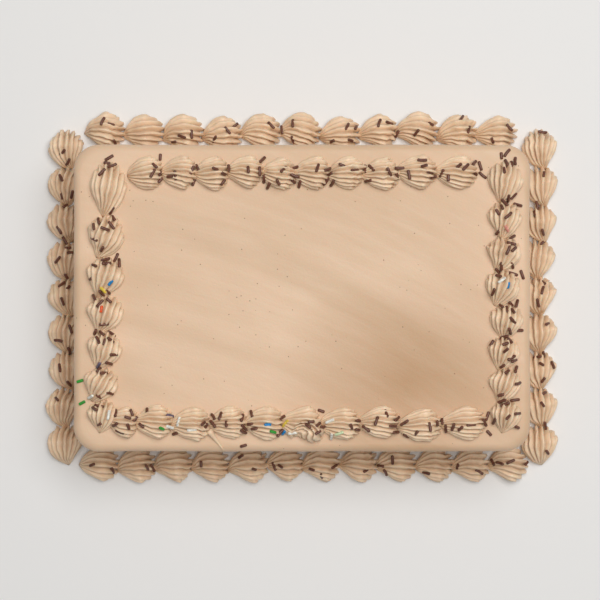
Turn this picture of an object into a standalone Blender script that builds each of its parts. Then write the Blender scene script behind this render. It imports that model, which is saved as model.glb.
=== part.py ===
"""A whole rectangular ice cream cake, covered in whipped topping and lying flat on its base.

Frame: metres, +Z up, the origin on the resting surface under the middle of the cake, +X along its length
and +Y towards its back. A border of piped shells runs round the top, set in from the edge, and another
runs round the foot, against the wall. Sprinkles lie on the shells, most of them where two shells meet.
"""

import math
import random

import bmesh
import bpy
from mathutils import Matrix, Vector
from mathutils.bvhtree import BVHTree

# The covered block
CAKE_LENGTH = 0.235
CAKE_WIDTH = 0.158
CAKE_HEIGHT = 0.062
CORNER_RADIUS = 0.013
TOP_EDGE_RADIUS = 0.004
FOOT_FLARE = 0.0025
CLEARANCE = 0.0003

# What every piped shell shares: how uneven it is, its plan and its star-shaped cross-section
PITCH_JITTER = 0.0006
SIDE_JITTER = 0.0005
SIZE_JITTER = 0.04
YAW_JITTER = math.radians(4)
TUCK = 0.0035
RIDGE_DEPTH = 0.17
HEAD_SHARPNESS = 0.6
CREST_SHARPNESS = 0.85
SWIRL = math.radians(24)
SWIRL_CENTRE = 0.3
STATIONS = (0.08, 0.26, 0.54)

# Where the rows of shells run
TOP_INSET = 0.015
COLUMN_X = CAKE_LENGTH / 2 - TOP_INSET
COLUMN_START_Y, COLUMN_END_Y = 0.070, -0.070
ROW_Y = CAKE_WIDTH / 2 - TOP_INSET
FRONT_START_X, FRONT_END_X = 0.095, -0.0995
BACK_START_X, BACK_END_X = 0.0905, -0.0905
BASE_OUTSET = FOOT_FLARE + 0.0095
BASE_COLUMN_X = CAKE_LENGTH / 2 + BASE_OUTSET
BASE_COLUMN_Y = 0.092
BASE_ROW_Y = CAKE_WIDTH / 2 + BASE_OUTSET
BASE_FRONT_START_X, BASE_FRONT_END_X = 0.1235, -0.1225
BASE_BACK_START_X, BASE_BACK_END_X = 0.1175, -0.1195

# The kinds of row: the width and height of a shell, the length of the last one, how much narrower it is
# than the first, how the pitch changes along the row (below 1 it shrinks), how far each tail is pulled to
# the left of the way the row is piped, and the angles that the cross-section runs between
COLUMN = {
    "width": 0.0205,
    "height": 0.0108,
    "length": 0.0177,
    "taper": 0.25,
    "crowding": 0.84,
    "tail_shift": -0.0015,
    "middle_height": 0.0,
    "first_angle": math.radians(-13),
    "last_angle": math.radians(193),
    "spokes": 17,
    "keel": (0.0, -0.003),
}
ROW = {
    **COLUMN,
    "width": 0.0182,
    "height": 0.0102,
    "length": 0.0200,
    "taper": 0.0,
    "crowding": 0.93,
    "tail_shift": 0.0,
}
BASE = {
    "width": 0.0205,
    "height": 0.0105,
    "length": 0.0235,
    "taper": 0.0,
    "crowding": 1.0,
    "tail_shift": 0.0,
    "middle_height": 0.004,
    "first_angle": math.radians(-30),
    "last_angle": math.radians(165),
    "spokes": 13,
    "keel": (-0.9, -0.003),
}

# Each border: where it starts and ends, how many shells it has, and the side that faces outwards
# (1 is left of the way it is piped)
BORDERS = {
    "top_border_left": {
        **COLUMN,
        "start": (0.0020 - COLUMN_X, COLUMN_START_Y),
        "end": (-0.0015 - COLUMN_X, COLUMN_END_Y),
        "count": 7,
        "outward": -1,
    },
    "top_border_right": {
        **COLUMN,
        "width": 0.0190,
        "crowding": 0.93,
        "start": (0.0015 + COLUMN_X, COLUMN_START_Y),
        "end": (0.0015 + COLUMN_X, COLUMN_END_Y),
        "count": 8,
        "outward": 1,
    },
    "top_border_front": {
        **ROW,
        "length": 0.0154,
        "start": (FRONT_START_X, -ROW_Y),
        "end": (FRONT_END_X, -ROW_Y),
        "count": 10,
        "outward": 1,
    },
    "top_border_back": {
        **ROW,
        "start": (BACK_START_X, ROW_Y),
        "end": (BACK_END_X, ROW_Y),
        "count": 10,
        "outward": -1,
    },
    "base_border_left": {
        **BASE,
        "start": (-BASE_COLUMN_X, BASE_COLUMN_Y),
        "end": (-BASE_COLUMN_X, -BASE_COLUMN_Y),
        "count": 9,
        "outward": -1,
    },
    "base_border_right": {
        **BASE,
        "start": (BASE_COLUMN_X, BASE_COLUMN_Y),
        "end": (BASE_COLUMN_X, -BASE_COLUMN_Y),
        "count": 9,
        "outward": 1,
    },
    "base_border_front": {
        **BASE,
        "start": (BASE_FRONT_START_X, -BASE_ROW_Y),
        "end": (BASE_FRONT_END_X, -BASE_ROW_Y),
        "count": 12,
        "outward": 1,
    },
    "base_border_back": {
        **BASE,
        "start": (BASE_BACK_START_X, BASE_ROW_Y),
        "end": (BASE_BACK_END_X, BASE_ROW_Y),
        "count": 11,
        "outward": -1,
    },
}

# Sprinkles
SPRINKLES_PER_BORDER = 5
SPRINKLE_LENGTH = 0.0052
SPRINKLE_RADIUS = 0.0009
SPRINKLE_SIDES = 6
SPRINKLE_SINK = 0.0002
SPRINKLE_ALONG = 0.006
JOINT_SPREAD = 0.003
SHELL_STRIDE = 3
RIM_SPRINKLES = ((-0.1135, -0.042, 0.6), (0.1130, 0.012, 1.9), (-0.030, -0.0758, 0.3))

TOPPING_COLOUR = (0.745, 0.540, 0.372, 1.0)
PIPING_COLOUR = (0.700, 0.500, 0.340, 1.0)


def clear_scene():
    """Removes what the file starts with."""
    for thing in list(bpy.data.objects):
        bpy.data.objects.remove(thing)


def make_collection(name):
    """A new collection in the scene."""
    made = bpy.data.collections.new(name)
    bpy.context.scene.collection.children.link(made)
    return made


def make_material(name, colour):
    """Whipped topping: soft, matt and without metal."""
    material = bpy.data.materials.new(name)
    material.use_nodes = True
    shader = material.node_tree.nodes["Principled BSDF"]
    shader.inputs["Base Color"].default_value = colour
    shader.inputs["Roughness"].default_value = 0.6
    shader.inputs["Metallic"].default_value = 0.0
    return material


def make_object(name, mesh, collection):
    """Turns the closed bmesh into a named object whose faces point outwards."""
    bmesh.ops.recalc_face_normals(mesh, faces=mesh.faces)
    if mesh.calc_volume(signed=True) < 0:
        bmesh.ops.reverse_faces(mesh, faces=mesh.faces)
    data = bpy.data.meshes.new(name)
    mesh.to_mesh(data)
    mesh.free()
    made = bpy.data.objects.new(name, data)
    collection.objects.link(made)
    return made


def paint(target, material):
    """Gives the whole target one material."""
    target.data.materials.clear()
    target.data.materials.append(material)


def hide_cutter(cutter):
    """A cutter is drawn as wire and is no piece of the cake."""
    cutter.hide_render = True
    cutter.display_type = "WIRE"


def cake_block(name, collection, grown=0.0):
    """The covered block, grown by a margin: round corners, a soft top edge, walls that flare to the foot."""
    mesh = bmesh.new()
    bmesh.ops.create_cube(mesh, size=1.0)
    size = Vector((CAKE_LENGTH + 2 * grown, CAKE_WIDTH + 2 * grown, CAKE_HEIGHT + 2 * grown))
    bmesh.ops.scale(mesh, vec=size, verts=mesh.verts)
    bmesh.ops.translate(mesh, vec=(0, 0, CAKE_HEIGHT / 2), verts=mesh.verts)
    upright = [e for e in mesh.edges if abs(e.verts[0].co.z - e.verts[1].co.z) > CAKE_HEIGHT / 2]
    bmesh.ops.bevel(mesh, geom=upright, offset=CORNER_RADIUS, segments=6, profile=0.5, affect="EDGES")
    rim = [e for e in mesh.edges if min(v.co.z for v in e.verts) > CAKE_HEIGHT - TOP_EDGE_RADIUS]
    bmesh.ops.bevel(mesh, geom=rim, offset=TOP_EDGE_RADIUS, segments=3, profile=0.5, affect="EDGES")
    foot = [v for v in mesh.verts if v.co.z < TOP_EDGE_RADIUS]
    for vertex in foot:
        vertex.co.x += math.copysign(FOOT_FLARE, vertex.co.x)
        vertex.co.y += math.copysign(FOOT_FLARE, vertex.co.y)
    return make_object(name, mesh, collection)


def shell_size(share):
    """How wide a shell is at a share of its length: a blunt head, a full shoulder and a pointed tail."""
    return math.sin(math.pi * share**HEAD_SHARPNESS)


def shell_point(border, share, spoke, length, girth):
    """A point on a shell, as far along, to the left of and above the place where its head starts."""
    size = max(shell_size(share), 0.0)
    half_width = border["width"] / 2 * girth * size
    rise = border["height"] * girth * size**CREST_SHARPNESS
    if spoke == border["spokes"]:
        across, height = border["keel"]
        side = across * half_width
    else:
        step = (border["last_angle"] - border["first_angle"]) / (border["spokes"] - 1)
        angle = border["first_angle"] + step * spoke + SWIRL * (share - SWIRL_CENTRE)
        reach = 1.0 - RIDGE_DEPTH * (spoke % 2)
        side = half_width * reach * math.cos(angle)
        height = border["middle_height"] * min(1.0, 2 * size) + rise * reach * math.sin(angle)
    return Vector((length * share, border["outward"] * side + border["tail_shift"] * share**2, height))


def add_shells(name, collection):
    """A row of shells in one stroke: a sphere whose rings are drawn out into stars, four to a shell.

    The last ring of each shell is the neck where its tail goes under the next head.
    """
    border = BORDERS[name]
    shells = list(shell_poses(name))
    rings = [(*shells[0], 0.0)]
    for pose, length, girth in shells:
        neck = 1 - TUCK / length
        rings += [(pose, length, girth, share) for share in (*STATIONS, neck)]
    rings.append((*shells[-1], 1.0))
    spokes = border["spokes"] + 1
    bands = len(rings) - 1
    mesh = bmesh.new()
    bmesh.ops.create_uvsphere(mesh, u_segments=spokes, v_segments=bands, radius=1.0)
    for vertex in mesh.verts:
        ring = round(bands * math.acos(max(-1.0, min(1.0, vertex.co.z))) / math.pi)
        spoke = round(spokes * math.atan2(vertex.co.y, vertex.co.x) / math.tau) % spokes
        pose, length, girth, share = rings[ring]
        vertex.co = pose @ shell_point(border, share, spoke, length, girth)
    return make_object(name, mesh, collection)


def shell_poses(name):
    """The place, length and girth of each shell of a border, as uneven as a hand pipes them."""
    border = BORDERS[name]
    chance = random.Random(name)
    way = Vector(border["end"]) - Vector(border["start"])
    run = way.length - border["length"]
    last = border["count"] - 1
    starts = [run * (number / last) ** border["crowding"] for number in range(last + 1)]
    for number in range(1, last):
        starts[number] += chance.uniform(-PITCH_JITTER, PITCH_JITTER)
    floor = 0.0 if name.startswith("base") else CAKE_HEIGHT
    place = Matrix.Translation((*border["start"], floor)) @ Matrix.Rotation(math.atan2(way.y, way.x), 4, "Z")
    for number, along in enumerate(starts):
        length = border["length"] if number == last else starts[number + 1] - along + TUCK
        girth = 1.0 - border["taper"] * (number / last) ** 2 + chance.uniform(-SIZE_JITTER, SIZE_JITTER)
        side = chance.uniform(-SIDE_JITTER, SIDE_JITTER)
        yaw = (0 < number < last) * chance.uniform(-YAW_JITTER, YAW_JITTER)
        yield place @ Matrix.Translation((along, side, 0)) @ Matrix.Rotation(yaw, 4, "Z"), length, girth


def sprinkle_spots(name):
    """Seen from above, where sprinkles lie on a border and how each is turned."""
    border = BORDERS[name]
    chance = random.Random("sprinkles " + name)
    poses = [pose for pose, _, _ in shell_poses(name)]
    for number in range(SPRINKLES_PER_BORDER):
        pose = poses[(1 + number * SHELL_STRIDE) % border["count"]]
        along = SPRINKLE_ALONG + chance.uniform(-JOINT_SPREAD, JOINT_SPREAD)
        side = border["outward"] * abs(chance.uniform(-JOINT_SPREAD, JOINT_SPREAD))
        spot = pose @ Vector((along, side, 0))
        yield spot.x, spot.y, chance.uniform(0, math.pi)


def add_sprinkle(name, collection, surface, x, y, yaw):
    """A short rod with pointed ends, lying half sunk in the surface under the spot."""
    hit, normal, _, _ = surface.ray_cast(Vector((x, y, 1.0)), Vector((0, 0, -1)))
    heading = Vector((math.cos(yaw), math.sin(yaw), 0))
    lengthways = (heading - heading.dot(normal) * normal).normalized()
    turn = lengthways.to_track_quat("Z", "X").to_matrix().to_4x4()
    mesh = bmesh.new()
    bmesh.ops.create_uvsphere(mesh, u_segments=SPRINKLE_SIDES, v_segments=3, radius=SPRINKLE_RADIUS)
    for vertex in mesh.verts:
        end = math.copysign(1.0, vertex.co.z)
        tip = math.hypot(vertex.co.x, vertex.co.y) < SPRINKLE_RADIUS / 10
        flat = Vector((vertex.co.x, vertex.co.y, 0))
        if not tip:
            flat = flat.normalized() * SPRINKLE_RADIUS
        vertex.co = flat + Vector((0, 0, end * (SPRINKLE_LENGTH / 2 - (not tip) * SPRINKLE_RADIUS / 2)))
    place = Matrix.Translation(hit - SPRINKLE_SINK * normal) @ turn
    bmesh.ops.transform(mesh, matrix=place, verts=mesh.verts)
    return make_object(name, mesh, collection)


def apply_boolean(target, operation, cutter=None, collection=None):
    """Joins or cuts the target and keeps the result as its mesh."""
    modifier = target.modifiers.new(operation, "BOOLEAN")
    modifier.operation = operation
    modifier.solver = "MANIFOLD"
    if collection:
        modifier.operand_type = "COLLECTION"
        modifier.collection = collection
    else:
        modifier.object = cutter
    graph = bpy.context.evaluated_depsgraph_get()
    result = bpy.data.meshes.new_from_object(target.evaluated_get(graph))
    target.modifiers.clear()
    target.data = result


def fuse(target, collection):
    """Joins everything in the collection to the target, then empties the collection."""
    apply_boolean(target, "UNION", collection=collection)
    for piece in list(collection.objects):
        bpy.data.objects.remove(piece)


def surface_of(target):
    """The target's surface, for finding the height of what lies on it."""
    graph = bpy.context.evaluated_depsgraph_get()
    return BVHTree.FromObject(target, graph)


def build_border(name, parts, pieces, cutters, material):
    """One side's row of shells with its sprinkles, cut clear of the cake and level with the floor."""
    border = add_shells(name, parts)
    surface = surface_of(border)
    for number, (x, y, yaw) in enumerate(sprinkle_spots(name)):
        add_sprinkle(f"{name}_sprinkle_{number}", pieces, surface, x, y, yaw)
    fuse(border, pieces)
    for cutter in cutters:
        apply_boolean(border, "DIFFERENCE", cutter=cutter)
    paint(border, material)


def floor_cutter(collection):
    """A slab under the resting surface."""
    mesh = bmesh.new()
    bmesh.ops.create_cube(mesh, size=1.0)
    bmesh.ops.translate(mesh, vec=(0, 0, -0.5), verts=mesh.verts)
    slab = make_object("below_the_surface", mesh, collection)
    hide_cutter(slab)
    return slab


def build_cake():
    """The block with the sprinkles that lie on its rim, and the eight borders."""
    clear_scene()
    parts = make_collection("ice_cream_cake")
    cutters = make_collection("cutters")
    pieces = make_collection("pieces_to_fuse")
    topping = make_material("whipped_topping", TOPPING_COLOUR)
    piping = make_material("piped_topping", PIPING_COLOUR)
    room = cake_block("cake_with_clearance", cutters, grown=CLEARANCE)
    hide_cutter(room)
    slab = floor_cutter(cutters)
    for name in BORDERS:
        build_border(name, parts, pieces, (room, slab), piping)
    cake = cake_block("cake", parts)
    surface = surface_of(cake)
    for number, (x, y, yaw) in enumerate(RIM_SPRINKLES):
        add_sprinkle(f"cake_sprinkle_{number}", pieces, surface, x, y, yaw)
    fuse(cake, pieces)
    paint(cake, topping)
    bpy.data.collections.remove(pieces)


build_cake()
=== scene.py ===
"""The looks of a whole rectangular ice cream cake: smooth whipped topping, two borders of piped shells that
run round its top and its foot, and the sprinkles that lie on them.

Metres, +Z up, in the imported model's frame: the cake lies along X with its front at -Y.
"""

import math
import random

import bmesh
import bpy
from mathutils import Matrix, Vector
from mathutils.bvhtree import BVHTree


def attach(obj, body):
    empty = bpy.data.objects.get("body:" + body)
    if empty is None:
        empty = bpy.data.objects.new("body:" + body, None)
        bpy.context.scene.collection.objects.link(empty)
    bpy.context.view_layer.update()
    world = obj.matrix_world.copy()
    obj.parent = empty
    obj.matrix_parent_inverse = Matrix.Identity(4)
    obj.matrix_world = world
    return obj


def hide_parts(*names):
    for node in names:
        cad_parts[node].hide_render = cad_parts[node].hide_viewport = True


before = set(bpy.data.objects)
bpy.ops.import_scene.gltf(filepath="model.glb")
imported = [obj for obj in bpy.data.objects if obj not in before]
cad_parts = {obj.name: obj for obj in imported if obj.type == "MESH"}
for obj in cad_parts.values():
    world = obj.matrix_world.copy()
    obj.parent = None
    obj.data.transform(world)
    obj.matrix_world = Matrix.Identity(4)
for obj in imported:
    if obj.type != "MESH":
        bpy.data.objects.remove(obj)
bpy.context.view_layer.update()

# The covered block
CAKE_LENGTH = 0.235
CAKE_WIDTH = 0.158
CAKE_HEIGHT = 0.062
CORNER_RADIUS = 0.013
TOP_EDGE_RADIUS = 0.004
FOOT_FLARE = 0.0025

# How uneven the piping is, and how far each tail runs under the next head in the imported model
PITCH_JITTER = 0.0006
SIDE_JITTER = 0.0005
SIZE_JITTER = 0.04
YAW_JITTER = math.radians(4)
TUCK = 0.0035

# Where the rows of shells run
TOP_INSET = 0.015
COLUMN_X = CAKE_LENGTH / 2 - TOP_INSET
COLUMN_START_Y, COLUMN_END_Y = 0.070, -0.070
ROW_Y = CAKE_WIDTH / 2 - TOP_INSET
FRONT_START_X, FRONT_END_X = 0.095, -0.0995
BACK_START_X, BACK_END_X = 0.0905, -0.0905
BASE_OUTSET = FOOT_FLARE + 0.0095
BASE_COLUMN_X = CAKE_LENGTH / 2 + BASE_OUTSET
BASE_COLUMN_Y = 0.092
BASE_ROW_Y = CAKE_WIDTH / 2 + BASE_OUTSET
BASE_FRONT_START_X, BASE_FRONT_END_X = 0.1235, -0.1225
BASE_BACK_START_X, BASE_BACK_END_X = 0.1175, -0.1195

# The kinds of row: the width and height of a shell, the length of the last one, how much narrower it is
# than the first, how the pitch changes along the row, how far the shells curl and twist, how far each tail
# reaches under the next head here, and how far the row lies to the left of its line
COLUMN = {
    "width": 0.0205,
    "height": 0.0108,
    "length": 0.0177,
    "taper": 0.14,
    "crowding": 0.84,
    "curl": math.radians(-24),
    "twist": math.radians(16),
    "overlap": 0.0026,
    "shift": 0.0018,
}
ROW = {
    "width": 0.0182,
    "height": 0.0102,
    "length": 0.0200,
    "taper": 0.0,
    "crowding": 0.93,
    "curl": math.radians(4),
    "twist": math.radians(10),
    "overlap": 0.0025,
    "shift": 0.0,
}
BASE = {
    "width": 0.0205,
    "height": 0.0105,
    "length": 0.0235,
    "taper": 0.0,
    "crowding": 1.0,
    "curl": math.radians(15),
    "twist": math.radians(15),
    "overlap": 0.0030,
    "shift": 0.0,
}

# Each border: where it starts and ends, how many shells it has, and the side that faces outwards
# (1 is left of the way it is piped)
BORDERS = {
    "top_border_left": {
        **COLUMN,
        "start": (0.0020 - COLUMN_X, COLUMN_START_Y),
        "end": (-0.0015 - COLUMN_X, COLUMN_END_Y),
        "count": 7,
        "outward": -1,
    },
    "top_border_right": {
        **COLUMN,
        "width": 0.0190,
        "crowding": 0.93,
        "shift": 0.0005,
        "start": (0.0015 + COLUMN_X, COLUMN_START_Y),
        "end": (0.0015 + COLUMN_X, COLUMN_END_Y),
        "count": 8,
        "outward": 1,
    },
    "top_border_front": {
        **ROW,
        "length": 0.0154,
        "start": (FRONT_START_X, -ROW_Y),
        "end": (FRONT_END_X, -ROW_Y),
        "count": 10,
        "outward": 1,
    },
    "top_border_back": {
        **ROW,
        "start": (BACK_START_X, ROW_Y),
        "end": (BACK_END_X, ROW_Y),
        "count": 10,
        "outward": -1,
    },
    "base_border_left": {
        **BASE,
        "start": (-BASE_COLUMN_X, BASE_COLUMN_Y),
        "end": (-BASE_COLUMN_X, -BASE_COLUMN_Y),
        "count": 9,
        "outward": -1,
    },
    "base_border_right": {
        **BASE,
        "start": (BASE_COLUMN_X, BASE_COLUMN_Y),
        "end": (BASE_COLUMN_X, -BASE_COLUMN_Y),
        "count": 9,
        "outward": 1,
    },
    "base_border_front": {
        **BASE,
        "start": (BASE_FRONT_START_X, -BASE_ROW_Y),
        "end": (BASE_FRONT_END_X, -BASE_ROW_Y),
        "count": 12,
        "outward": 1,
    },
    "base_border_back": {
        **BASE,
        "start": (BASE_BACK_START_X, BASE_ROW_Y),
        "end": (BASE_BACK_END_X, BASE_ROW_Y),
        "count": 11,
        "outward": -1,
    },
}

# The nozzle, a star drawn at the size of a full shell. Each ridge has a valley, a shoulder, a crest and
# another shoulder, and the valleys and shoulders lie further in than the crests
COLUMN_RIDGES = 16
ROW_RIDGES = 18
POINTS_PER_RIDGE = 4
VALLEY_POINTS = (0,)
SHOULDER_POINTS = (1, 3)
VALLEY_REACH = 0.67
SHOULDER_REACH = 0.905
VALLEY_CREASE = 0.4
NOZZLE_RADIUS = 0.010

# The shell that it pipes: how the star runs from under the head to the tip of the tail, how full the tail
# and how blunt the head is, how the valleys deepen towards the head, how much each part of the head ruffles,
# and how unlike each other the shells are
SHELL_LENGTH = 0.020
HEAD_MIDDLE = 0.0077
HEAD_DROP = 0.0030
HEAD_START = 0.82
HEAD_STEPS = 7
TAIL_STEPS = 11
TAIL_END = 0.97
COLUMN_FULLNESS, ROW_FULLNESS = 1.0, 0.7
COLUMN_BLUNTNESS, ROW_BLUNTNESS = 1.0, 0.8
FINGER_SQUEEZES = ((0.0060, 0.96), (0.0035, 0.94))
HEAD_WEIGHTS = ((0.010, 0.3), (0.007, 0.6), (0.005, 1.0))
CURL_JITTER = math.radians(10)
TWIST_JITTER = math.radians(12)
LEAST_RUFFLE = 0.2

# How the shells lie: how far the middle of those at the foot is off the floor, how deep those on the top
# sink in, how far those at the foot are pressed against the cake, and what brings the ridges' crests to the
# borders' own width and height
FOOT_MIDDLE = 0.0038
SHELL_SINK = 0.0006
BASE_PRESS = 0.0006
BASE_WIDTH_FIT = 1.005
BASE_HEIGHT_FIT = 0.945
CREST_FIT = 0.97

# The one front shell that was piped loosely, so that its ridges end in a swirl: its border and number, how
# much thicker it is and further out it lies, and the middle, reach, steps and turn of the swirl in the
# nozzle's own measure
LOOSE_SHELL = ("top_border_front", 4)
LOOSE_GIRTH = 1.10
LOOSE_SHIFT = 0.0016
SWIRL_X, SWIRL_Y = 0.0058, 0.0049
SWIRL_REACH = 0.0080
SWIRL_STEPS = 10
SWIRL_TURN = math.radians(12)

# How finely the covering is divided, how it is built up from the foot, and how near a length or a height
# has to be to count as the same
GRID_SPACING = 0.002
CORNER_STEPS = 10
FLARE_HEIGHT = 0.016
FLARE_STEPS = 7
WALL_STEPS = 16
EDGE_STEPS = 6
LENGTH_MARGIN = 0.001
FOOT_MARGIN = 0.0001

# A sprinkle: its size, where its ends start as a share of its length, how they are rounded, how much shorter
# the short kind is and how far the curved kind bends
SPRINKLE_LENGTH = 0.0051
SPRINKLE_RADIUS = 0.0008
SPRINKLE_SIDES = 8
SPRINKLE_CUTS = 2
SPRINKLE_END = 0.49
SPRINKLE_ROUNDING = 0.00045
ROUNDING_STEPS = 2
SHORT_SHARE = 0.72
SPRINKLE_CURVE = math.radians(35)

# How a sprinkle rests on the topping, and how near two may lie
RESTING_SHARE = 0.8
RESTING_HEIGHT = 0.6
STEEPEST_TILT = math.radians(50)
DROP_HEIGHT = 0.2
LINE_POINTS = (-1.0, -0.5, 0.0, 0.5, 1.0)
CLOSEST = 0.0014

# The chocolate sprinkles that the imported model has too: those on the rim, each with its x, its y and the way
# it lies, and those on every third shell of a border, near its joint with the shell before
RIM_SPRINKLES = ((-0.1135, -0.042, 0.6), (0.1130, 0.012, 1.9), (-0.030, -0.0758, 0.3))
SPRINKLES_PER_BORDER = 5
SHELL_STRIDE = 3
SPRINKLE_ALONG = 0.006
JOINT_SPREAD = 0.003

# The other chocolate sprinkles: how many gather at each joint and lie on each shell, at the top and at the
# foot, where round the joint, and where on the shell as shares of its length and width
TOP_CLUSTER = (11, 2)
BASE_CLUSTER = (1, 1)
COUNT_JITTER = 1
CLUSTER_ALONG = 0.001
CLUSTER_SPREAD = 0.0027
BODY_START, BODY_END = 0.15, 0.8
BODY_REACH = 0.35

# The coloured sprinkles: x, y and the way each lies
COLOURED_SPRINKLES = {
    "blue": ((0.010, 0.230, 0.560), (
        (-0.0975, 0.0077, 0.9), (-0.0174, -0.0645, 0.0), (-0.0094, -0.0690, 0.9),
        (0.1050, 0.0065, 1.4),
    )),
    "yellow": ((0.840, 0.620, 0.090), ((-0.1016, 0.0041, -0.9), (-0.0085, -0.0641, 0.95))),
    "orange": ((0.800, 0.090, 0.012), ((-0.1021, -0.0056, 1.4),)),
    "green": ((0.030, 0.300, 0.030), (
        (-0.1139, -0.0426, 0.3), (-0.1128, -0.0538, 0.5), (-0.0713, -0.0664, -0.5),
        (-0.0147, -0.0681, -0.3),
    )),
    "white": ((0.860, 0.820, 0.740), (
        (-0.1082, -0.0506, 0.55), (-0.0985, -0.0595, 1.4), (-0.0674, -0.0659, -0.35),
        (-0.0631, -0.0631, 1.3), (-0.0561, -0.0672, 0.1), (-0.0048, -0.0690, 0.1),
        (0.0142, -0.0628, 0.4), (0.0151, -0.0708, 1.5), (0.1017, 0.0091, 0.6),
    )),
    "pale_green": ((0.640, 0.760, 0.480), ((0.0190, -0.0690, 0.4),)),
    "pink": ((0.780, 0.330, 0.260), ((0.1044, 0.0354, 2.2), (0.1046, 0.0326, 0.3))),
    "purple": ((0.140, 0.115, 0.180), ((-0.1041, -0.0344, 0.9), (-0.0675, -0.0602, 2.8))),
}

# The colours whose sprinkles are all of the short kind; those of the others are long
SHORT_COLOURS = ("blue", "orange", "green")

# The size and strength of each unevenness, and the block that cuts the shells off flat
WAVE_SIZE, WAVE_STRENGTH = 0.008, 0.0016
RUFFLE_SIZE, RUFFLE_STRENGTH = 0.0035, 0.0028
GRAIN_SIZE, GRAIN_STRENGTH = 0.0015, 0.00015
COVER_WAVE_SIZE, COVER_WAVE_STRENGTH = 0.03, 0.0009
COVER_GRAIN_SIZE, COVER_GRAIN_STRENGTH = 0.006, 0.00012
CUTTER_DEPTH = 0.05

# The thin wisp of topping that was pulled out of a front shell: its ends, thickness and bend
WISP_START = (-0.0478, -0.0675, CAKE_HEIGHT + 0.0022)
WISP_TIP = (-0.0402, -0.0781, CAKE_HEIGHT - 0.0004)
WISP_RADIUS = 0.0018
WISP_TIP_RADIUS = 0.0002
WISP_SIDES = 10
WISP_STEPS = 5
WISP_BEND = math.radians(28)

# Colours, and how far down a ridge's side the painted shade in the valleys starts and how strong it gets
COVER_PALE = (0.775, 0.550, 0.375, 1.0)
COVER_WARM = (0.650, 0.445, 0.280, 1.0)
# The colour of the painted shadow near the covering's front right
COVER_PAINTED_SHADOW = (0.440, 0.235, 0.095, 1.0)
SPECK_COLOUR = (0.170, 0.085, 0.045, 1.0)
PIPING_PALE = (0.890, 0.685, 0.485, 1.0)
PIPING_DEEP = (0.770, 0.560, 0.380, 1.0)
# The colour of the painted shade in the piping's valleys
PAINTED_VALLEY_SHADE_COLOUR = (0.480, 0.290, 0.170, 1.0)
PAINTED_VALLEY_SHADE_START = 0.2
PAINTED_VALLEY_SHADE_STRENGTH = 0.8
CHOCOLATE_COLOUR = (0.145, 0.053, 0.032)
SPRINKLE_DARK, SPRINKLE_PALE = 0.7, 1.25
FLOOR_COLOUR = (0.85, 0.85, 0.85, 1.0)

# The arcs that the spatula left on the covering, round a point in front of the cake's left end, and how the
# pattern is stretched along them and up the wall
SPATULA_CENTRE = (-0.185, -0.455)
SPATULA_STRETCH = 0.065
SPATULA_CLIMB = 0.8

# The covering's marks: how fine each pattern is, the part of its range that shows, and how strong it is
BAND_SCALE, BAND_RANGE, BAND_SHARE = 48, (0.46, 0.66), 0.6
BLOTCH_SCALE, BLOTCH_RANGE, BLOTCH_SHARE = 14, (0.42, 0.75), 0.35
STREAK_SCALE, STREAK_RANGE = 230, (0.3, 0.7)
PORE_SCALE = 900

# The covering's specks: how closely they lie, how far each reaches, how much of it is darkest, and how
# strong they are
SPECK_SCALE, SPECK_REACH = 190, 0.068
SPECK_CORE, SPECK_SHARE = 0.6, 0.7

# The painted shadow near the covering's front right and the warm patch along its back: middle, size and
# strength
PAINTED_SHADOW_PLACE = (0.054, -0.042, CAKE_HEIGHT)
PAINTED_SHADOW_SIZE = (0.072, 0.056, 0.050)
PAINTED_SHADOW_SHARE = 0.8
BACK_PLACE = (0.030, 0.060, CAKE_HEIGHT)
BACK_SIZE = (0.150, 0.065, 0.050)
BACK_SHARE = 0.9

# The marks of the piping and of the sprinkles
MOTTLE_SCALE, MOTTLE_RANGE = 130, (0.38, 0.72)
PIPING_PORE_SCALE = 1300
SPRINKLE_MOTTLE_SCALE, SPRINKLE_MOTTLE_RANGE = 700, (0.3, 0.7)

# The reliefs: how deep each is and how strongly it shows
STREAK_RELIEF = (0.0006, 0.25)
PORE_RELIEF = (0.0003, 0.20)
SPECK_RELIEF = (0.0003, 0.4)
PIPING_PORE_RELIEF = (0.0003, 0.25)
SPRINKLE_RELIEF = (0.0002, 0.3)

# How rough each surface is all over, and between which limits it varies
COVER_ROUGHNESS, COVER_ROUGHNESS_RANGE = 0.5, (0.44, 0.58)
PIPING_ROUGHNESS, PIPING_ROUGHNESS_RANGE = 0.45, (0.42, 0.55)
SPRINKLE_ROUGHNESS, SPRINKLE_ROUGHNESS_RANGE = 0.35, (0.28, 0.48)
FLOOR_ROUGHNESS = 0.9

# How much of the light sinks into the topping, and how far
SOFTNESS = 0.1
SOFT_REACH = 0.002

FLOOR_SIZE = 4.0

# The camera looks straight down from about a metre, as the photograph does
FRAME_ACROSS = 0.308
CAMERA_RISE = 0.97
FRAME_CENTRE = (-0.001, -0.001)

# The soft light above and the pale fill
LIGHT_PLACE = (0.30, 0.34, 1.75)
LIGHT_SIZE = 1.2
LIGHT_POWER = 25.8
LIGHT_COLOUR = (1.0, 0.985, 0.96)
FILL_COLOUR = (1.0, 0.99, 0.98, 1.0)
FILL_STRENGTH = 0.23


def deselect():
    """Nothing is selected, so that the next operator acts on what is picked for it alone."""
    bpy.ops.object.select_all(action="DESELECT")


def pick(piece):
    """The piece alone is selected and active."""
    deselect()
    piece.select_set(True)
    bpy.context.view_layer.objects.active = piece


def name_new(name):
    """Names the piece that an operator has just added."""
    piece = bpy.context.object
    piece.name = name
    piece.data.name = name
    return piece


def apply_modifier(piece, kind, **settings):
    """Puts a modifier on the piece and applies it."""
    pick(piece)
    modifier = piece.modifiers.new(kind.lower(), kind)
    for key, value in settings.items():
        setattr(modifier, key, value)
    bpy.ops.object.modifier_apply(modifier=modifier.name)


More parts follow.
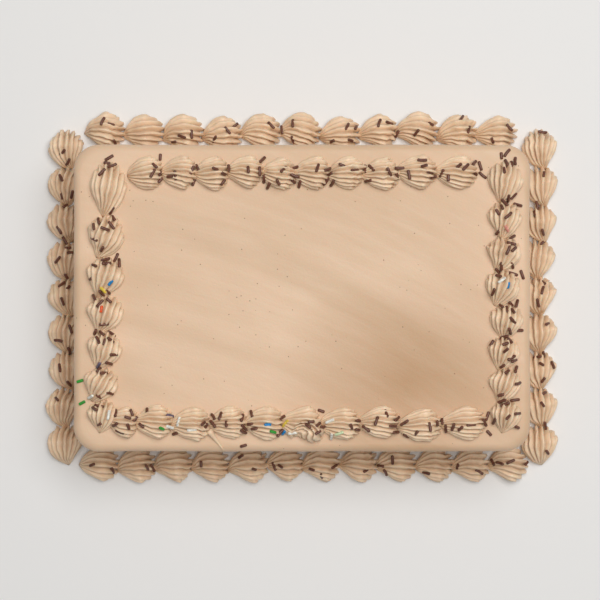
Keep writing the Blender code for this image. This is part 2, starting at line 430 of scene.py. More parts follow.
def select_points(piece, wanted):
    """In edit mode, selects the points that the test wants, with the edges and faces between them."""
    mesh = bmesh.from_edit_mesh(piece.data)
    for point in mesh.verts:
        point.select_set(False)
    for point in mesh.verts:
        if wanted(point.co):
            point.select_set(True)
    mesh.select_flush(True)
    bmesh.update_edit_mesh(piece.data)


def select_edges(piece, wanted):
    """In edit mode, selects the edges that the test wants."""
    mesh = bmesh.from_edit_mesh(piece.data)
    for edge in mesh.edges:
        edge.select_set(False)
    for edge in mesh.edges:
        if wanted(edge):
            edge.select_set(True)
    bmesh.update_edit_mesh(piece.data)


def soft_texture(name, size, cloud_type="GRAYSCALE"):
    """A cloudy unevenness of the given size, in colour where it moves points in every direction."""
    texture = bpy.data.textures.new(name, "CLOUDS")
    texture.noise_scale = size
    texture.noise_depth = 1
    texture.cloud_type = cloud_type
    return texture


def join(pieces, name):
    """Makes one piece of several."""
    deselect()
    for piece in pieces:
        piece.select_set(True)
    bpy.context.view_layer.objects.active = pieces[0]
    bpy.ops.object.join()
    return name_new(name)


def nozzle_point(co, ridges):
    """Which point of its ridge a point of the nozzle's ring is, counted from the valley."""
    turn = math.atan2(co.z, co.y) / math.tau * ridges * POINTS_PER_RIDGE
    return round(turn) % POINTS_PER_RIDGE


def shell_rings(fullness, middle_height):
    """Where the star is pulled to in steps: its middle, its size and how far it leans back.

    It starts flat under the head, turns over the head while it swells, and narrows to the tail.
    """
    for step in range(HEAD_STEPS):
        turn = step / HEAD_STEPS
        middle = Vector((HEAD_MIDDLE, 0, middle_height * turn - HEAD_DROP * (1 - turn)))
        yield middle, HEAD_START + (1 - HEAD_START) * math.sin(math.pi / 2 * turn), math.pi / 2 * (1 - turn)
    for step in range(TAIL_STEPS + 1):
        share = TAIL_END * step / TAIL_STEPS
        size = math.cos(math.pi / 2 * share) ** fullness
        along = HEAD_MIDDLE + (SHELL_LENGTH - HEAD_MIDDLE) * share
        yield Vector((along, 0, middle_height * min(1.0, 2 * size))), size, 0.0


def draw_star(name, ridges):
    """The nozzle's star as one upright face across X, still in edit mode, with its valleys in a group."""
    bpy.ops.mesh.primitive_circle_add(
        vertices=ridges * POINTS_PER_RIDGE,
        radius=NOZZLE_RADIUS,
        fill_type="NGON",
        rotation=(0, math.pi / 2, 0),
    )
    star = name_new(name)
    bpy.ops.object.transform_apply(rotation=True)
    star.vertex_groups.new(name="valleys")
    bpy.ops.object.mode_set(mode="EDIT")
    bpy.ops.mesh.select_mode(type="VERT")
    select_points(star, lambda co: nozzle_point(co, ridges) in VALLEY_POINTS)
    bpy.ops.transform.resize(value=(VALLEY_REACH,) * 3, center_override=(0, 0, 0))
    bpy.ops.object.vertex_group_assign()
    select_points(star, lambda co: nozzle_point(co, ridges) in SHOULDER_POINTS)
    bpy.ops.transform.resize(value=(SHOULDER_REACH,) * 3, center_override=(0, 0, 0))
    bpy.ops.mesh.select_all(action="SELECT")
    return star


def pull_star(fullness, middle_height):
    """Pulls the selected star over the head and along the tail, and closes it at the tip."""
    centre, size, lean = Vector((0, 0, 0)), 1.0, 0.0
    for number, (next_centre, next_size, next_lean) in enumerate(shell_rings(fullness, middle_height)):
        move = next_centre - centre
        if number == 0:
            bpy.ops.transform.translate(value=move)
        else:
            bpy.ops.mesh.extrude_region_move(TRANSFORM_OT_translate={"value": move})
        centre = next_centre
        bpy.ops.transform.resize(value=(next_size / size,) * 3, center_override=centre)
        bpy.ops.transform.rotate(value=next_lean - lean, orient_axis="Y", center_override=centre)
        size, lean = next_size, next_lean
    bpy.ops.mesh.merge(type="CENTER")
    bpy.ops.mesh.select_all(action="SELECT")
    bpy.ops.mesh.normals_make_consistent(inside=False)


def crease_valleys(shell):
    """Keeps the valleys sharp when the shell is rounded."""
    bpy.ops.mesh.select_all(action="DESELECT")
    shell.vertex_groups.active_index = shell.vertex_groups["valleys"].index
    bpy.ops.object.vertex_group_select()
    bpy.ops.transform.edge_crease(value=VALLEY_CREASE)


def part_fingers(shell):
    """Deepens the valleys towards the head, so that the ridges end there as separate fingers."""
    valleys = shell.vertex_groups["valleys"].index
    for length, squeeze in FINGER_SQUEEZES:
        mesh = bmesh.from_edit_mesh(shell.data)
        weights = mesh.verts.layers.deform.verify()
        for point in mesh.verts:
            point.select_set(valleys in point[weights] and point.co.x < length)
        mesh.select_flush(True)
        bmesh.update_edit_mesh(shell.data)
        bpy.ops.transform.resize(value=(squeeze,) * 3, center_override=(HEAD_MIDDLE, 0, 0))


def blunt_head(shell, bluntness):
    """Presses the head flatter from the front and draws the shell out to its full length again."""
    select_points(shell, lambda co: co.x < HEAD_MIDDLE)
    bpy.ops.transform.resize(value=(bluntness, 1, 1), center_override=(HEAD_MIDDLE, 0, 0))
    bpy.ops.mesh.select_all(action="SELECT")
    bpy.ops.transform.translate(value=((bluntness - 1) * HEAD_MIDDLE, 0, 0))
    bpy.ops.transform.resize(
        value=(SHELL_LENGTH / (SHELL_LENGTH + (bluntness - 1) * HEAD_MIDDLE), 1, 1),
        center_override=(0, 0, 0),
    )


def weight_head(shell):
    """Marks the head, where the ridges ruffle."""
    head = shell.vertex_groups.new(name="head")
    shell.vertex_groups.active_index = head.index
    for length, weight in HEAD_WEIGHTS:
        select_points(shell, lambda co, length=length: co.x < length)
        bpy.context.scene.tool_settings.vertex_group_weight = weight
        bpy.ops.object.vertex_group_assign()


def mark_painted_valley_shade(shell):
    """Writes how deep in a valley each point lies, which the painted shade in the topping's colour follows."""
    valleys = shell.vertex_groups["valleys"].index
    marks = shell.data.attributes.new("valley", "FLOAT", "POINT")
    for point in shell.data.vertices:
        for membership in point.groups:
            if membership.group == valleys:
                marks.data[point.index].value = membership.weight


def pipe_shell(name, ridges, fullness, bluntness, middle_height):
    """One shell, head at the origin and tail towards +X, piped with a star nozzle.

    The ridges stand round the head as separate fingers, run over it and come together in the tail.
    """
    shell = draw_star(name, ridges)
    pull_star(fullness, middle_height)
    crease_valleys(shell)
    part_fingers(shell)
    blunt_head(shell, bluntness)
    weight_head(shell)
    bpy.ops.object.mode_set(mode="OBJECT")
    apply_modifier(shell, "SUBSURF", levels=1, render_levels=1)
    mark_painted_valley_shade(shell)
    return shell


def shell_poses(name):
    """The pose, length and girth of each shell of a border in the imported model, as uneven as by hand."""
    border = BORDERS[name]
    chance = random.Random(name)
    way = Vector(border["end"]) - Vector(border["start"])
    run = way.length - border["length"]
    last = border["count"] - 1
    starts = [run * (number / last) ** border["crowding"] for number in range(last + 1)]
    for number in range(1, last):
        starts[number] += chance.uniform(-PITCH_JITTER, PITCH_JITTER)
    floor = 0.0 if name.startswith("base") else CAKE_HEIGHT
    turn = Matrix.Rotation(math.atan2(way.y, way.x), 4, "Z")
    place = Matrix.Translation((*border["start"], floor)) @ turn
    for number, along in enumerate(starts):
        length = border["length"] if number == last else starts[number + 1] - along + TUCK
        girth = 1.0 - border["taper"] * (number / last) ** 2 + chance.uniform(-SIZE_JITTER, SIZE_JITTER)
        side = chance.uniform(-SIDE_JITTER, SIDE_JITTER)
        yaw = (0 < number < last) * chance.uniform(-YAW_JITTER, YAW_JITTER)
        yield place @ Matrix.Translation((along, side, 0)) @ Matrix.Rotation(yaw, 4, "Z"), length, girth


def sprinkle_spots(name):
    """Seen from above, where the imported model's sprinkles lie on a border and how each is turned."""
    border = BORDERS[name]
    chance = random.Random("sprinkles " + name)
    poses = [pose for pose, _, _ in shell_poses(name)]
    for number in range(SPRINKLES_PER_BORDER):
        pose = poses[(1 + number * SHELL_STRIDE) % border["count"]]
        along = SPRINKLE_ALONG + chance.uniform(-JOINT_SPREAD, JOINT_SPREAD)
        side = border["outward"] * abs(chance.uniform(-JOINT_SPREAD, JOINT_SPREAD))
        spot = pose @ Vector((along, side, 0))
        yield spot.x, spot.y, chance.uniform(0, math.pi)


def place_shell(shell, name, pose, length, girth, shift):
    """Sizes a shell of a border and lays it at its pose, moved sideways by the shift."""
    border = BORDERS[name]
    on_floor = name.startswith("base")
    width_fit = BASE_WIDTH_FIT if on_floor else 1.0
    height_fit = BASE_HEIGHT_FIT if on_floor else CREST_FIT
    side = border["shift"] - border["outward"] * BASE_PRESS * on_floor + shift
    size = Matrix.Diagonal((
        length / SHELL_LENGTH,
        border["width"] / 2 * girth / NOZZLE_RADIUS * width_fit,
        border["height"] * girth / NOZZLE_RADIUS * height_fit,
        1.0,
    ))
    shell.matrix_world = pose @ Matrix.Translation((0, side, 0)) @ size
    bpy.ops.object.transform_apply()


def lay_shells(name, master, cutter):
    """A row of shells, each a copy of the master with its own size, curl and twist, cut off flat below."""
    border = BORDERS[name]
    chance = random.Random("curl " + name)
    shells = []
    for number, (pose, length, girth) in enumerate(shell_poses(name)):
        pick(master)
        bpy.ops.object.duplicate()
        shell = bpy.context.object
        curl = border["curl"] + chance.uniform(-CURL_JITTER, CURL_JITTER)
        twist = border["twist"] + chance.uniform(-TWIST_JITTER, TWIST_JITTER)
        ruffle = RUFFLE_STRENGTH * chance.uniform(LEAST_RUFFLE, 1.0) ** 2
        apply_modifier(shell, "SIMPLE_DEFORM", deform_method="TWIST", deform_axis="X", angle=twist)
        apply_modifier(shell, "SIMPLE_DEFORM", deform_method="BEND", deform_axis="Z", angle=curl)
        if number < border["count"] - 1:
            length += border["overlap"] - TUCK
        if (name, number) == LOOSE_SHELL:
            swirl_head(shell)
            place_shell(shell, name, pose, length, girth * LOOSE_GIRTH, LOOSE_SHIFT)
        else:
            place_shell(shell, name, pose, length, girth, 0.0)
        roughen(shell, PIPING_RUFFLE, ruffle, direction="RGB_TO_XYZ", vertex_group="head")
        roughen(shell, PIPING_WAVE, WAVE_STRENGTH, direction="RGB_TO_XYZ")
        roughen(shell, PIPING_GRAIN, GRAIN_STRENGTH)
        apply_modifier(shell, "BOOLEAN", operation="DIFFERENCE", solver="MANIFOLD", object=cutter)
        shells.append(shell)
    if name == "top_border_front":
        shells.append(pull_wisp())
    row = join(shells, "piped_" + name)
    bpy.ops.object.shade_smooth()
    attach(row, "root")
    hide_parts(name)
    dress(row, PIPING)
    return row


def swirl_head(shell):
    """Turns the outer side of the head round in ever smaller rings, so that its ridges end in a swirl."""
    bpy.ops.object.mode_set(mode="EDIT")
    bpy.ops.mesh.select_mode(type="VERT")
    for step in range(SWIRL_STEPS):
        reach = SWIRL_REACH * (1 - step / SWIRL_STEPS)
        select_points(shell, lambda co, reach=reach: math.hypot(co.x - SWIRL_X, co.y - SWIRL_Y) < reach)
        bpy.ops.transform.rotate(value=SWIRL_TURN, orient_axis="Z", center_override=(SWIRL_X, SWIRL_Y, 0))
    bpy.ops.object.mode_set(mode="OBJECT")


def pipe_borders():
    """All the borders, each piped with the shell of its kind and cut off at the top or at the floor."""
    column_shell = pipe_shell("column_shell", COLUMN_RIDGES, COLUMN_FULLNESS, COLUMN_BLUNTNESS, 0.0)
    row_shell = pipe_shell("row_shell", ROW_RIDGES, ROW_FULLNESS, ROW_BLUNTNESS, 0.0)
    foot_shell = pipe_shell("foot_shell", COLUMN_RIDGES, COLUMN_FULLNESS, COLUMN_BLUNTNESS, FOOT_MIDDLE)
    top_cutter = add_cutter("top_cutter", CAKE_HEIGHT - SHELL_SINK)
    foot_cutter = add_cutter("foot_cutter", 0.0)
    rows = []
    for name in BORDERS:
        if name.startswith("base"):
            rows.append(lay_shells(name, foot_shell, foot_cutter))
        elif name in ("top_border_front", "top_border_back"):
            rows.append(lay_shells(name, row_shell, top_cutter))
        else:
            rows.append(lay_shells(name, column_shell, top_cutter))
    remove([column_shell, row_shell, foot_shell, top_cutter, foot_cutter])
    return rows


def pull_wisp():
    """A thin pointed wisp that hangs from a front shell over the cake's edge."""
    start, tip = Vector(WISP_START), Vector(WISP_TIP)
    bpy.ops.mesh.primitive_cone_add(
        vertices=WISP_SIDES,
        radius1=WISP_RADIUS,
        radius2=WISP_TIP_RADIUS,
        depth=(tip - start).length,
    )
    wisp = name_new("wisp")
    bpy.ops.object.mode_set(mode="EDIT")
    bpy.ops.mesh.select_mode(type="EDGE")
    select_edges(wisp, lambda edge: abs(edge.verts[0].co.z - edge.verts[1].co.z) > WISP_RADIUS)
    bpy.ops.mesh.subdivide(number_cuts=WISP_STEPS)
    bpy.ops.object.mode_set(mode="OBJECT")
    apply_modifier(wisp, "SIMPLE_DEFORM", deform_method="BEND", deform_axis="X", angle=WISP_BEND)
    turn = (tip - start).to_track_quat("Z", "Y").to_matrix().to_4x4()
    wisp.matrix_world = Matrix.Translation((start + tip) / 2) @ turn
    bpy.ops.object.transform_apply()
    return wisp


def roughen(piece, texture, strength, **settings):
    """Moves the piece's points by a texture that lies fixed in the whole scene."""
    apply_modifier(
        piece, "DISPLACE", texture=texture, texture_coords="GLOBAL", strength=strength, **settings)


def wall_rings():
    """The height and the outset of each ring of the covering, from the foot up and over the top edge."""
    yield 0.0, FOOT_FLARE
    for step in range(1, FLARE_STEPS + 1):
        share = step / FLARE_STEPS
        yield FLARE_HEIGHT * share, FOOT_FLARE * (1 - share) ** 2
    wall_top = CAKE_HEIGHT - TOP_EDGE_RADIUS
    for step in range(1, WALL_STEPS + 1):
        yield FLARE_HEIGHT + (wall_top - FLARE_HEIGHT) * step / WALL_STEPS, 0.0
    for step in range(1, EDGE_STEPS + 1):
        turn = math.pi / 2 * step / EDGE_STEPS
        yield wall_top + TOP_EDGE_RADIUS * math.sin(turn), -TOP_EDGE_RADIUS * (1 - math.cos(turn))


def draw_outline(name):
    """The cake's outline on the floor, with round corners and divided sides, still in edit mode."""
    bpy.ops.mesh.primitive_plane_add(size=1)
    cake = name_new(name)
    bpy.ops.object.mode_set(mode="EDIT")
    bpy.ops.transform.resize(value=(CAKE_LENGTH, CAKE_WIDTH, 1), center_override=(0, 0, 0))
    bpy.ops.mesh.bevel(offset=CORNER_RADIUS, segments=CORNER_STEPS, affect="VERTICES")
    bpy.ops.mesh.delete(type="ONLY_FACE")
    bpy.ops.mesh.select_mode(type="EDGE")
    for side in (CAKE_LENGTH - 2 * CORNER_RADIUS, CAKE_WIDTH - 2 * CORNER_RADIUS):
        select_edges(cake, lambda edge, side=side: abs(edge.calc_length() - side) < LENGTH_MARGIN)
        bpy.ops.mesh.subdivide(number_cuts=round(side / GRID_SPACING) - 1)
    bpy.ops.mesh.select_all(action="SELECT")
    return cake


def raise_walls():
    """Draws the selected outline up from the foot and over the top edge, and fills the top with a grid."""
    height, outset = 0.0, 0.0
    for number, (next_height, next_outset) in enumerate(wall_rings()):
        if number > 0:
            rise = (0, 0, next_height - height)
            bpy.ops.mesh.extrude_region_move(TRANSFORM_OT_translate={"value": rise})
        bpy.ops.transform.resize(
            value=(
                (CAKE_LENGTH + 2 * next_outset) / (CAKE_LENGTH + 2 * outset),
                (CAKE_WIDTH + 2 * next_outset) / (CAKE_WIDTH + 2 * outset),
                1,
            ),
            center_override=(0, 0, next_height),
        )
        height, outset = next_height, next_outset
    bpy.ops.mesh.fill_grid(span=round((CAKE_LENGTH - 2 * CORNER_RADIUS) / GRID_SPACING) + CORNER_STEPS)


def cover_cake():
    """The covered block, closed below and a little uneven everywhere above its foot."""
    cake = draw_outline("covered_cake")
    raise_walls()
    bpy.ops.mesh.select_mode(type="VERT")
    select_points(cake, lambda co: co.z < FOOT_MARGIN)
    bpy.ops.mesh.edge_face_add()
    above_foot = cake.vertex_groups.new(name="above_foot")
    select_points(cake, lambda co: co.z > FOOT_MARGIN)
    cake.vertex_groups.active_index = above_foot.index
    bpy.ops.object.vertex_group_assign()
    bpy.ops.mesh.select_all(action="SELECT")
    bpy.ops.mesh.normals_make_consistent(inside=False)
    bpy.ops.object.mode_set(mode="OBJECT")
    bpy.ops.object.shade_smooth()
    roughen(cake, COVER_WAVE, COVER_WAVE_STRENGTH, vertex_group=above_foot.name)
    roughen(cake, COVER_GRAIN, COVER_GRAIN_STRENGTH, vertex_group=above_foot.name)
    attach(cake, "root")
    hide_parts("cake")
    dress(cake, COVERING)
    return cake


def add_cutter(name, top):
    """A block whose top is where the shells that stand on it are cut off."""
    bpy.ops.mesh.primitive_cube_add(
        size=1,
        scale=(2 * CAKE_LENGTH, 2 * CAKE_WIDTH, CUTTER_DEPTH),
        location=(0, 0, top - CUTTER_DEPTH / 2),
    )
    return name_new(name)


def shape_sprinkle(name, length, curve):
    """One sprinkle along X with rounded ends, straight or a little curved."""
    bpy.ops.mesh.primitive_cylinder_add(
        vertices=SPRINKLE_SIDES,
        radius=SPRINKLE_RADIUS,
        depth=length,
        rotation=(0, math.pi / 2, 0),
    )
    sprinkle = name_new(name)
    bpy.ops.object.transform_apply(rotation=True)
    bpy.ops.object.mode_set(mode="EDIT")
    bpy.ops.mesh.select_mode(type="EDGE")
    select_edges(sprinkle, lambda edge: abs(edge.verts[0].co.x - edge.verts[1].co.x) > length / 2)
    bpy.ops.mesh.subdivide(number_cuts=SPRINKLE_CUTS)
    select_edges(sprinkle, lambda edge: min(abs(end.co.x) for end in edge.verts) > SPRINKLE_END * length)
    bpy.ops.mesh.bevel(offset=SPRINKLE_ROUNDING, segments=ROUNDING_STEPS, affect="EDGES")
    bpy.ops.object.mode_set(mode="OBJECT")
    if curve:
        apply_modifier(sprinkle, "SIMPLE_DEFORM", deform_method="BEND", deform_axis="Z", angle=curve)
    pick(sprinkle)
    bpy.ops.object.shade_smooth()
    return sprinkle


def topping_tree(pieces):
    """What rays can hit: the surfaces of all the pieces that sprinkles lie on."""
    points = []
    faces = []
    for piece in pieces:
        first = len(points)
        points.extend(point.co.copy() for point in piece.data.vertices)
        faces.extend([first + corner for corner in face.vertices] for face in piece.data.polygons)
    return BVHTree.FromPolygons(points, faces)


def drop(tree, x, y):
    """The height of the topping at a place seen from above, or none beside it."""
    spot, _, _, _ = tree.ray_cast(Vector((x, y, DROP_HEIGHT)), Vector((0, 0, -1)))
    return spot.z if spot else None


def lay_sprinkle(tree, kinds, spot, chance, taken):
    """A copy of one kind of sprinkle that rests on the topping by its ends or its middle.

    Where it would lie through another it is left out.
    """
    x, y, yaw = spot
    kind = chance.choice(kinds)
    half = kind.dimensions.x / 2 * RESTING_SHARE
    reach = Vector((math.cos(yaw), math.sin(yaw))) * half
    line = [Vector((x, y)) + reach * share for share in LINE_POINTS]
    if any((point - other).length < CLOSEST for point in line for other in taken):
        return None
    ends = [drop(tree, x - reach.x, y - reach.y), drop(tree, x + reach.x, y + reach.y)]
    middle = drop(tree, x, y)
    if middle is None or None in ends:
        return None
    tilt = math.atan2(ends[1] - ends[0], 2 * half)
    tilt = max(-STEEPEST_TILT, min(STEEPEST_TILT, tilt))
    taken += line
    height = max(middle, (ends[0] + ends[1]) / 2) + SPRINKLE_RADIUS * RESTING_HEIGHT
    roll = chance.uniform(0, math.tau)
    turn = Matrix.Rotation(yaw, 4, "Z") @ Matrix.Rotation(-tilt, 4, "Y") @ Matrix.Rotation(roll, 4, "X")
    pick(kind)
    bpy.ops.object.duplicate()
    sprinkle = bpy.context.object
    sprinkle.matrix_world = Matrix.Translation((x, y, height)) @ turn
    bpy.ops.object.transform_apply()
    return sprinkle


def cluster_spots(name):
    """Seen from above, where the other chocolate sprinkles lie on a border, at its joints and shells."""
    border = BORDERS[name]
    chance = random.Random("clusters " + name)
    at_joint, on_body = BASE_CLUSTER if name.startswith("base") else TOP_CLUSTER
    for pose, length, _ in shell_poses(name):
        for _ in range(at_joint + chance.randint(-COUNT_JITTER, COUNT_JITTER)):
            along = chance.gauss(CLUSTER_ALONG, CLUSTER_SPREAD)
            side = border["shift"] + chance.gauss(0.0, CLUSTER_SPREAD)
            spot = pose @ Vector((along, side, 0))
            yield spot.x, spot.y, chance.uniform(0, math.pi)
        for _ in range(on_body + chance.randint(-COUNT_JITTER, COUNT_JITTER)):
            along = chance.uniform(BODY_START, BODY_END) * length
            side = border["shift"] + chance.uniform(-BODY_REACH, BODY_REACH) * border["width"]
            spot = pose @ Vector((along, side, 0))
            yield spot.x, spot.y, chance.uniform(0, math.pi)


def scatter(tree, kinds, name, spots, material, taken):
    """All the sprinkles of one colour, as one piece, clear of those that were laid before."""
    chance = random.Random(name)
    laid = [lay_sprinkle(tree, kinds, spot, chance, taken) for spot in spots]
    piece = join([sprinkle for sprinkle in laid if sprinkle], name)
    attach(piece, "root")
    dress(piece, material)
    return piece


def lay_sprinkles(tree):
    """The coloured sprinkles, each colour in its own piece, and then the chocolate ones between them."""
    long_kind = shape_sprinkle("long_sprinkle", SPRINKLE_LENGTH, 0.0)
    curved_kind = shape_sprinkle("curved_sprinkle", SPRINKLE_LENGTH, SPRINKLE_CURVE)
    short_kind = shape_sprinkle("short_sprinkle", SHORT_SHARE * SPRINKLE_LENGTH, 0.0)
    all_kinds = [long_kind, curved_kind, short_kind]
    taken = []
    for name, (colour, spots) in COLOURED_SPRINKLES.items():
        kind = short_kind if name in SHORT_COLOURS else long_kind
        sugar = make_sprinkle_material(name + "_sprinkle", colour)
        scatter(tree, [kind], name + "_sprinkles", spots, sugar, taken)
    brown_spots = list(RIM_SPRINKLES)
    for name in BORDERS:
        brown_spots += list(sprinkle_spots(name))
        brown_spots += list(cluster_spots(name))
    chocolate = make_sprinkle_material("chocolate_sprinkle", CHOCOLATE_COLOUR)
    scatter(tree, all_kinds, "chocolate_sprinkles", brown_spots, chocolate, taken)
    remove(all_kinds)


def dress(piece, material):
    """Gives the piece the material alone."""
    piece.data.materials.clear()
    piece.data.materials.append(material)


def remove(pieces):
    """Takes away masters and cutters once they have been used."""
    deselect()
    for piece in pieces:
        piece.select_set(True)
    bpy.ops.object.delete()


def new_material(name, colour, roughness):
    """A material and its shader, which has the colour and the roughness all over."""
    material = bpy.data.materials.new(name)
    material.use_nodes = True
    shader = material.node_tree.nodes["Principled BSDF"]
    shader.inputs["Base Color"].default_value = colour
    shader.inputs["Roughness"].default_value = roughness
    return material, shader


def add_node(material, kind, inputs=None, **settings):
    """A node with its settings, whose inputs are given values or are joined to outputs."""
    node = material.node_tree.nodes.new(kind)
    for key, value in settings.items():
        setattr(node, key, value)
    for socket, value in (inputs or {}).items():
        if isinstance(value, bpy.types.NodeSocket):
            material.node_tree.links.new(value, node.inputs[socket])
        else:
            node.inputs[socket].default_value = value
    return node


def object_place(material):
    """The place of a point on the cake, which the patterns read."""
    return add_node(material, "ShaderNodeTexCoord").outputs["Object"]


def calculate(material, operation, first, second=0.0):
    """The result of a sum on two numbers."""
    return add_node(material, "ShaderNodeMath", {0: first, 1: second}, operation=operation).outputs[0]


def cloud(material, place, scale, detail=2.0, distortion=0.0):
    """A soft random pattern, as a number from 0 to 1."""
    return add_node(material, "ShaderNodeTexNoise", {
        "Vector": place,
        "Scale": scale,
        "Detail": detail,
        "Distortion": distortion,
    }).outputs[0]


def spread(material, value, low, high, start=0.0, end=1.0):
    """A number that runs from start to end while the value runs from low to high."""
    return add_node(material, "ShaderNodeMapRange", {
        "Value": value,
        "From Min": low,
        "From Max": high,
        "To Min": start,
        "To Max": end,
    }).outputs[0]


def blend_colours(material, share, first, second):
    """The first colour, and the second where the share is 1."""
    return add_node(material, "ShaderNodeMix", {0: share, 6: first, 7: second}, data_type="RGBA").outputs[2]


def raise_surface(material, height, distance, strength, under=None):
    """A fine relief, on top of another if one is given."""
    inputs = {"Height": height, "Distance": distance, "Strength": strength}
    if under is not None:
        inputs["Normal"] = under
    return add_node(material, "ShaderNodeBump", inputs).outputs[0]


def dress_shader(material, shader, colour, roughness, normal):
    """Joins the finished colour, roughness and relief to the shader."""
    links = material.node_tree.links
    links.new(colour, shader.inputs["Base Color"])
    links.new(roughness, shader.inputs["Roughness"])
    links.new(normal, shader.inputs["Normal"])


def soften(shader):
    """Lets a little of the light sink into the topping."""
    shader.inputs["Subsurface Weight"].default_value = SOFTNESS
    shader.inputs["Subsurface Scale"].default_value = SOFT_REACH


def stage_floor():
    """A plain pale floor."""
    bpy.ops.mesh.primitive_plane_add(size=FLOOR_SIZE, location=(0, 0, 0))
    floor = name_new("floor")
    material, _ = new_material("floor", FLOOR_COLOUR, FLOOR_ROUGHNESS)
    dress(floor, material)


def light_scene():
    """A large soft light from above, a little to the right and behind, and a pale fill from all round."""
    bpy.ops.object.light_add(type="AREA", location=LIGHT_PLACE)
    lamp = bpy.context.object
    lamp.name = "soft_light"
    lamp.data.energy = LIGHT_POWER
    lamp.data.size = LIGHT_SIZE
    lamp.data.color = LIGHT_COLOUR
    lamp.rotation_euler = (-Vector(LIGHT_PLACE)).to_track_quat("-Z", "Y").to_euler()
    world = bpy.data.worlds.new("fill")
    world.use_nodes = True
    background = world.node_tree.nodes["Background"]
    background.inputs["Color"].default_value = FILL_COLOUR
    background.inputs["Strength"].default_value = FILL_STRENGTH
    bpy.context.scene.world = world
    bpy.context.scene.view_settings.view_transform = "Standard"


def place_camera():
    """Straight above the cake, the front at the bottom of the picture."""
    x, y = FRAME_CENTRE
    bpy.ops.object.camera_add(location=(x, y, CAKE_HEIGHT + CAMERA_RISE), rotation=(0, 0, 0))
    camera = bpy.context.object
    camera.name = "camera"
    camera.data.angle = 2 * math.atan(FRAME_ACROSS / 2 / CAMERA_RISE)
    bpy.context.scene.camera = camera


def along_spatula(material, place):
    """The place in terms of the spatula's arcs: across them, along them and up the wall."""
    centre = (*SPATULA_CENTRE, 0.0)
    arm = add_node(material, "ShaderNodeVectorMath", {0: place, 1: centre}, operation="SUBTRACT").outputs[0]
    parts = add_node(material, "ShaderNodeSeparateXYZ", {0: arm}).outputs
    flat_arm = add_node(material, "ShaderNodeCombineXYZ", {0: parts[0], 1: parts[1]}).outputs[0]
    reach = add_node(material, "ShaderNodeVectorMath", {0: flat_arm}, operation="LENGTH").outputs["Value"]
    turn = calculate(material, "ARCTAN2", parts[1], parts[0])
    return add_node(material, "ShaderNodeCombineXYZ", {
        0: reach,
        1: calculate(material, "MULTIPLY", turn, SPATULA_STRETCH),
        2: calculate(material, "MULTIPLY", parts[2], SPATULA_CLIMB),
    }).outputs[0]


def find_specks(material, place):
    """1 in the tiny dark specks, each a ball that the surface cuts at random."""
    balls = add_node(material, "ShaderNodeTexVoronoi", {"Vector": place, "Scale": SPECK_SCALE})
    return spread(material, balls.outputs["Distance"], SPECK_REACH, SPECK_CORE * SPECK_REACH)


def find_patch(material, place, middle, size):
    """1 in the middle of a patch, fading to 0 round it, as for the painted shadow near the front and the warm
    patch at the back.
    """
    inputs = {"Vector": place, "Location": middle, "Scale": size}
    local = add_node(material, "ShaderNodeMapping", inputs, vector_type="TEXTURE").outputs[0]
    return add_node(material, "ShaderNodeTexGradient", {0: local}, gradient_type="SPHERICAL").outputs[1]


def make_covering():
    """Smooth whipped topping: warm bands where the spatula went, a few specks and fine pores."""
    material, shader = new_material("smooth_topping", COVER_PALE, COVER_ROUGHNESS)
    place = object_place(material)
    arcs = along_spatula(material, place)
    bands = spread(material, cloud(material, arcs, BAND_SCALE, detail=1.5), *BAND_RANGE)
    bands = calculate(material, "MULTIPLY", bands, BAND_SHARE)
    blotches = cloud(material, place, BLOTCH_SCALE, distortion=0.4)
    blotches = spread(material, blotches, *BLOTCH_RANGE, end=BLOTCH_SHARE)
    back = find_patch(material, place, BACK_PLACE, BACK_SIZE)
    back = calculate(material, "MULTIPLY", back, BACK_SHARE)
    warmth = calculate(material, "MAXIMUM", bands, blotches)
    warmth = calculate(material, "MAXIMUM", warmth, back)
    # Painted shadow: a dark patch near the front right, where shade fell on the topping
    painted_shadow = find_patch(material, place, PAINTED_SHADOW_PLACE, PAINTED_SHADOW_SIZE)
    painted_shadow = calculate(material, "MULTIPLY", painted_shadow, PAINTED_SHADOW_SHARE)
    specks = find_specks(material, place)
    colour = blend_colours(material, warmth, COVER_PALE, COVER_WARM)
    colour = blend_colours(material, painted_shadow, colour, COVER_PAINTED_SHADOW)
    colour = blend_colours(
        material, calculate(material, "MULTIPLY", specks, SPECK_SHARE), colour, SPECK_COLOUR)
    streaks = cloud(material, arcs, STREAK_SCALE, detail=3.0)
    pores = cloud(material, place, PORE_SCALE, detail=3.0)
    pits = calculate(material, "SUBTRACT", 1.0, specks)
    relief = raise_surface(material, streaks, *STREAK_RELIEF)
    relief = raise_surface(material, pores, *PORE_RELIEF, relief)
    relief = raise_surface(material, pits, *SPECK_RELIEF, relief)
    roughness = spread(material, streaks, *STREAK_RANGE, *COVER_ROUGHNESS_RANGE)
    dress_shader(material, shader, colour, roughness, relief)
    soften(shader)
    return material


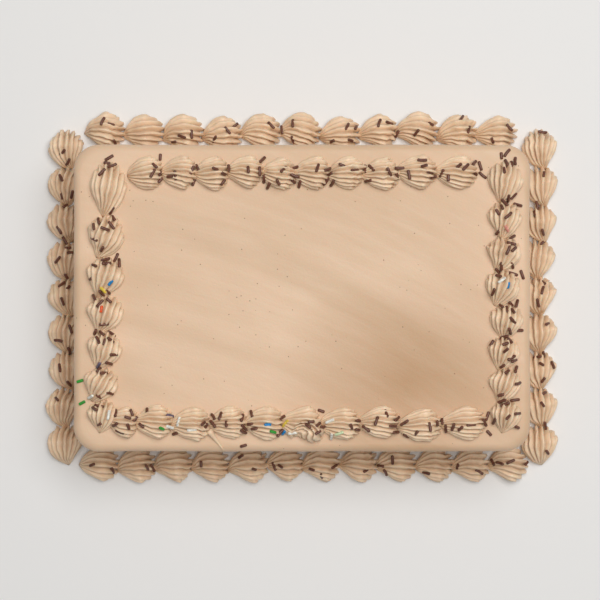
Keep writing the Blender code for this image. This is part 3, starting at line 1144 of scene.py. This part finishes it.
def make_piping():
    """The same topping piped: softly mottled, with painted shade down in the valleys between the ridges, and
    with fine pores.
    """
    material, shader = new_material("piped_topping_cream", PIPING_PALE, PIPING_ROUGHNESS)
    place = object_place(material)
    mottle = cloud(material, place, MOTTLE_SCALE, detail=3.0, distortion=0.3)
    mottle = spread(material, mottle, *MOTTLE_RANGE)
    valley = add_node(material, "ShaderNodeAttribute", attribute_name="valley").outputs["Fac"]
    # Painted shade: the colour darkens towards the bottom of each valley, where shade falls between the ridges
    shade = spread(material, valley, PAINTED_VALLEY_SHADE_START, 1.0, end=PAINTED_VALLEY_SHADE_STRENGTH)
    colour = blend_colours(material, mottle, PIPING_PALE, PIPING_DEEP)
    colour = blend_colours(material, shade, colour, PAINTED_VALLEY_SHADE_COLOUR)
    pores = cloud(material, place, PIPING_PORE_SCALE, detail=3.0)
    relief = raise_surface(material, pores, *PIPING_PORE_RELIEF)
    roughness = spread(material, mottle, 0.0, 1.0, *PIPING_ROUGHNESS_RANGE)
    dress_shader(material, shader, colour, roughness, relief)
    soften(shader)
    return material


def make_sprinkle_material(name, colour):
    """Satin sugar or chocolate, a little uneven in shade."""
    material, shader = new_material(name, (*colour, 1.0), SPRINKLE_ROUGHNESS)
    place = object_place(material)
    mottle = cloud(material, place, SPRINKLE_MOTTLE_SCALE)
    dark = tuple(SPRINKLE_DARK * part for part in colour)
    pale = tuple(min(1.0, SPRINKLE_PALE * part) for part in colour)
    share = spread(material, mottle, *SPRINKLE_MOTTLE_RANGE)
    shade = blend_colours(material, share, (*dark, 1.0), (*pale, 1.0))
    relief = raise_surface(material, mottle, *SPRINKLE_RELIEF)
    roughness = spread(material, mottle, *SPRINKLE_MOTTLE_RANGE, *SPRINKLE_ROUGHNESS_RANGE)
    dress_shader(material, shader, shade, roughness, relief)
    return material


deselect()
place_camera()
light_scene()
stage_floor()

# The unevenness and the finishes that the pieces share
PIPING_WAVE = soft_texture("piping_wave", WAVE_SIZE, "COLOR")
PIPING_RUFFLE = soft_texture("piping_ruffle", RUFFLE_SIZE, "COLOR")
PIPING_GRAIN = soft_texture("piping_grain", GRAIN_SIZE)
COVER_WAVE = soft_texture("cover_wave", COVER_WAVE_SIZE)
COVER_GRAIN = soft_texture("cover_grain", COVER_GRAIN_SIZE)
COVERING = make_covering()
PIPING = make_piping()

covered_cake = cover_cake()
border_rows = pipe_borders()
lay_sprinkles(topping_tree([covered_cake, *border_rows]))
